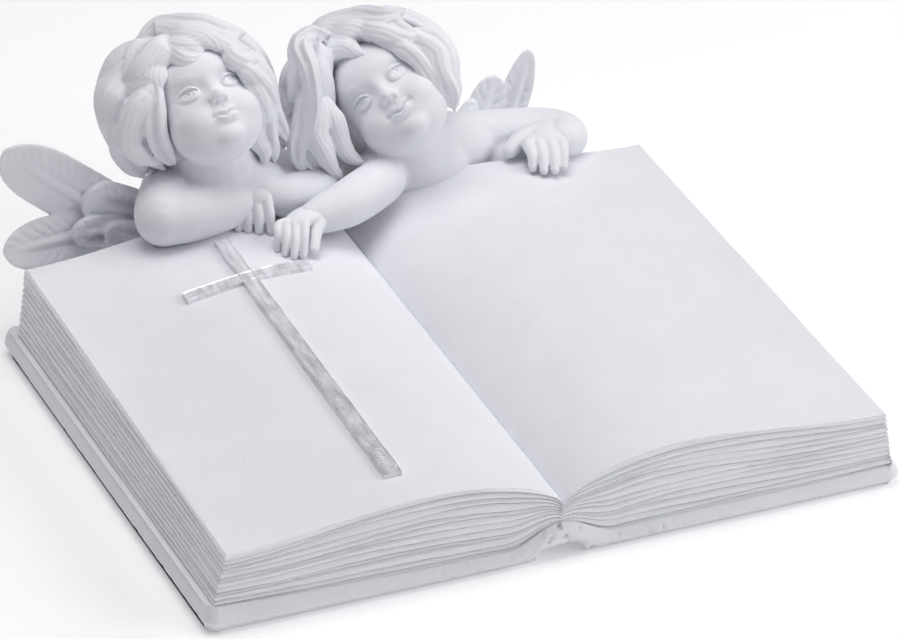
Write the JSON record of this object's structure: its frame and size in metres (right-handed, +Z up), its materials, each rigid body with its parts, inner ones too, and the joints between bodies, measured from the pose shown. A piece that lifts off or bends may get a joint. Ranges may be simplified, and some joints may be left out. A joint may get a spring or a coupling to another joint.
{
  "type": "angel grave statue",
  "caption": "Low grave ornament: an open book with a raised cross on its left page and two winged cherubs leaning over its back edge.",
  "frame": {"origin": "centre of the bounding box's bottom face, on the ground", "axes": "+Z up, +Y from the reader to the cherubs at the back edge, +X to the right page"},
  "size_m": [0.2, 0.2008, 0.0894],
  "materials": {
    "white_resin": "matte white cast resin filled with stone powder, faintly grained",
    "silver_paint": "silver, brushed unevenly along the bars"
  },
  "bodies": {
    "root": {"statue": "white_resin", "cross": "silver_paint"}
  },
  "joints": []
}
